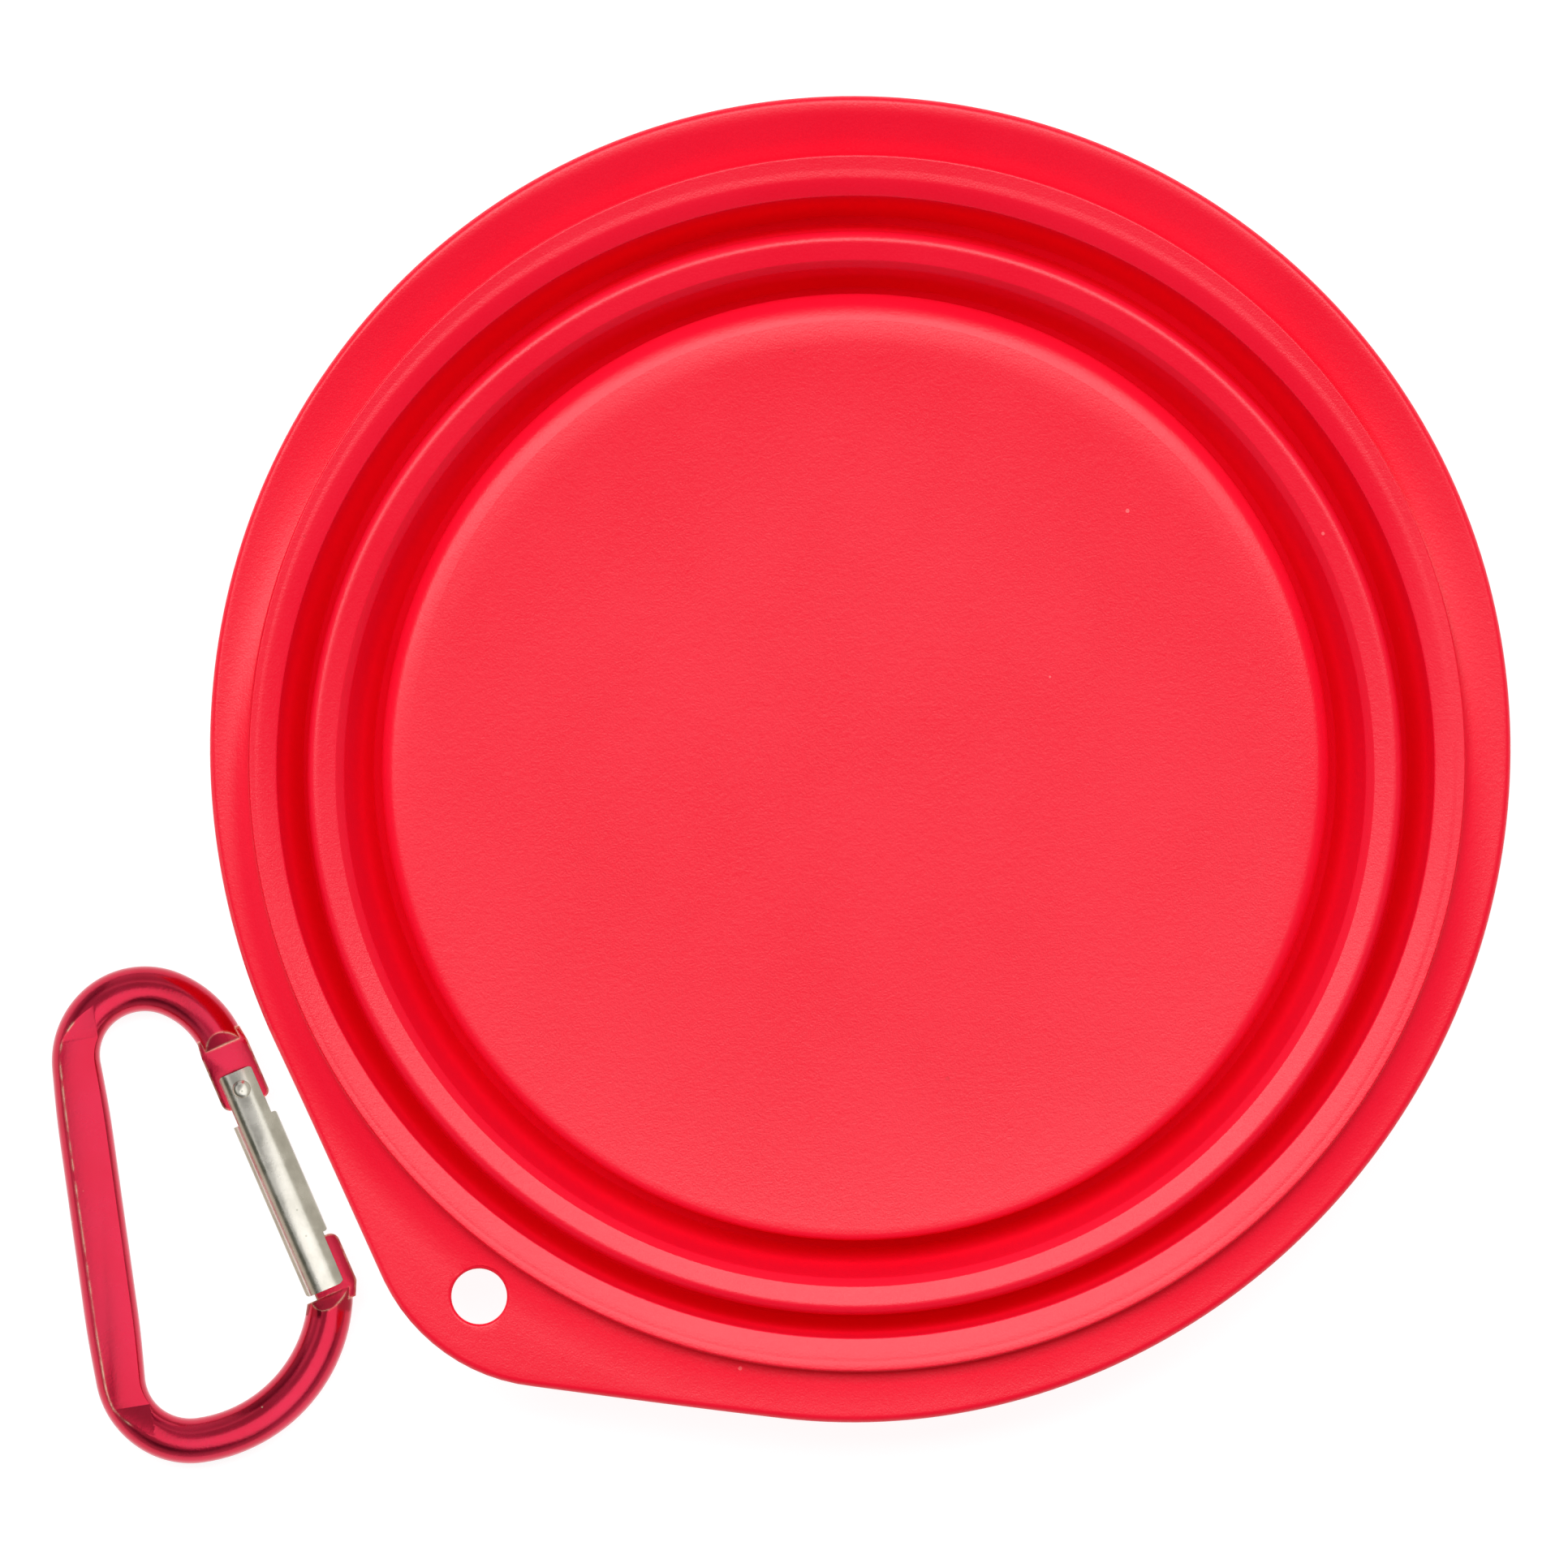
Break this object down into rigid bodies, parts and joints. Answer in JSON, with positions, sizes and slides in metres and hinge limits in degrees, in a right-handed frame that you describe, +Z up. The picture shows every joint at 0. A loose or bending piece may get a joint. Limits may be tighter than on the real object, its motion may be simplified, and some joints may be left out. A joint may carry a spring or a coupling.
{
  "type": "collapsible pet bowl",
  "caption": "Silicone travel bowl folded flat, with a flanged rim, a hang tab and fold rings that pop up into a deep bowl, and a sprung snap clip lying beside it.",
  "frame": {"origin": "centre of the flat underside of the bowl's base", "axes": "+Z up out of the bowl's mouth, along the bowl's axis; +X to the right and +Y away from the hang tab's side, as in the picture"},
  "size_m": [0.1447, 0.1342, 0.0155],
  "materials": {
    "silicone": "matte moulded silicone",
    "anodised_red": "polished red anodised",
    "plated_sheet": "bright plated",
    "spring_steel": "drawn wire"
  },
  "bodies": {
    "base": {"base_floor": "silicone"},
    "middle": {"middle_wall": "silicone", "lower_fold": "silicone"},
    "rim": {"rim": "silicone", "upper_fold": "silicone"},
    "clip": {"clip_body": "anodised_red", "gate_rivet": "plated_sheet"},
    "gate": {"clip_gate": "plated_sheet", "gate_spring": "spring_steel"},
    "plunger": {"gate_plunger": "spring_steel"}
  },
  "joints": [
    {"name": "lower_fold_rise", "type": "slide", "parent": "base", "child": "middle", "axis": [0, 0, 1], "range_m": [0, 0.0182], "deforming": ["lower_fold"]},
    {"name": "upper_fold_rise", "type": "slide", "parent": "middle", "child": "rim", "axis": [0, 0, 1], "range_m": [0, 0.0256], "deforming": ["upper_fold"]},
    {"name": "clip_lift", "type": "slide", "parent": "base", "child": "clip", "axis": [0, 0, 1], "range_m": [0, 0.08]},
    {"name": "gate_swing", "type": "hinge", "parent": "clip", "child": "gate", "pos_m": [-0.06093, -0.03199, -0.00635], "axis": [0, 0, -1], "range_deg": [0, 28], "stiffness_Nm_per_rad": 0.02, "springref_deg": -45.84},
    {"name": "plunger_slide", "type": "slide", "parent": "gate", "child": "plunger", "axis": [0.3965, -0.918, 0], "range_m": [0, 0.0008], "deforming": ["gate_spring"]}
  ],
  "couplings": [
    {"joint": "plunger_slide", "follows": "gate_swing", "m_per_rad": 0.0015}
  ]
}
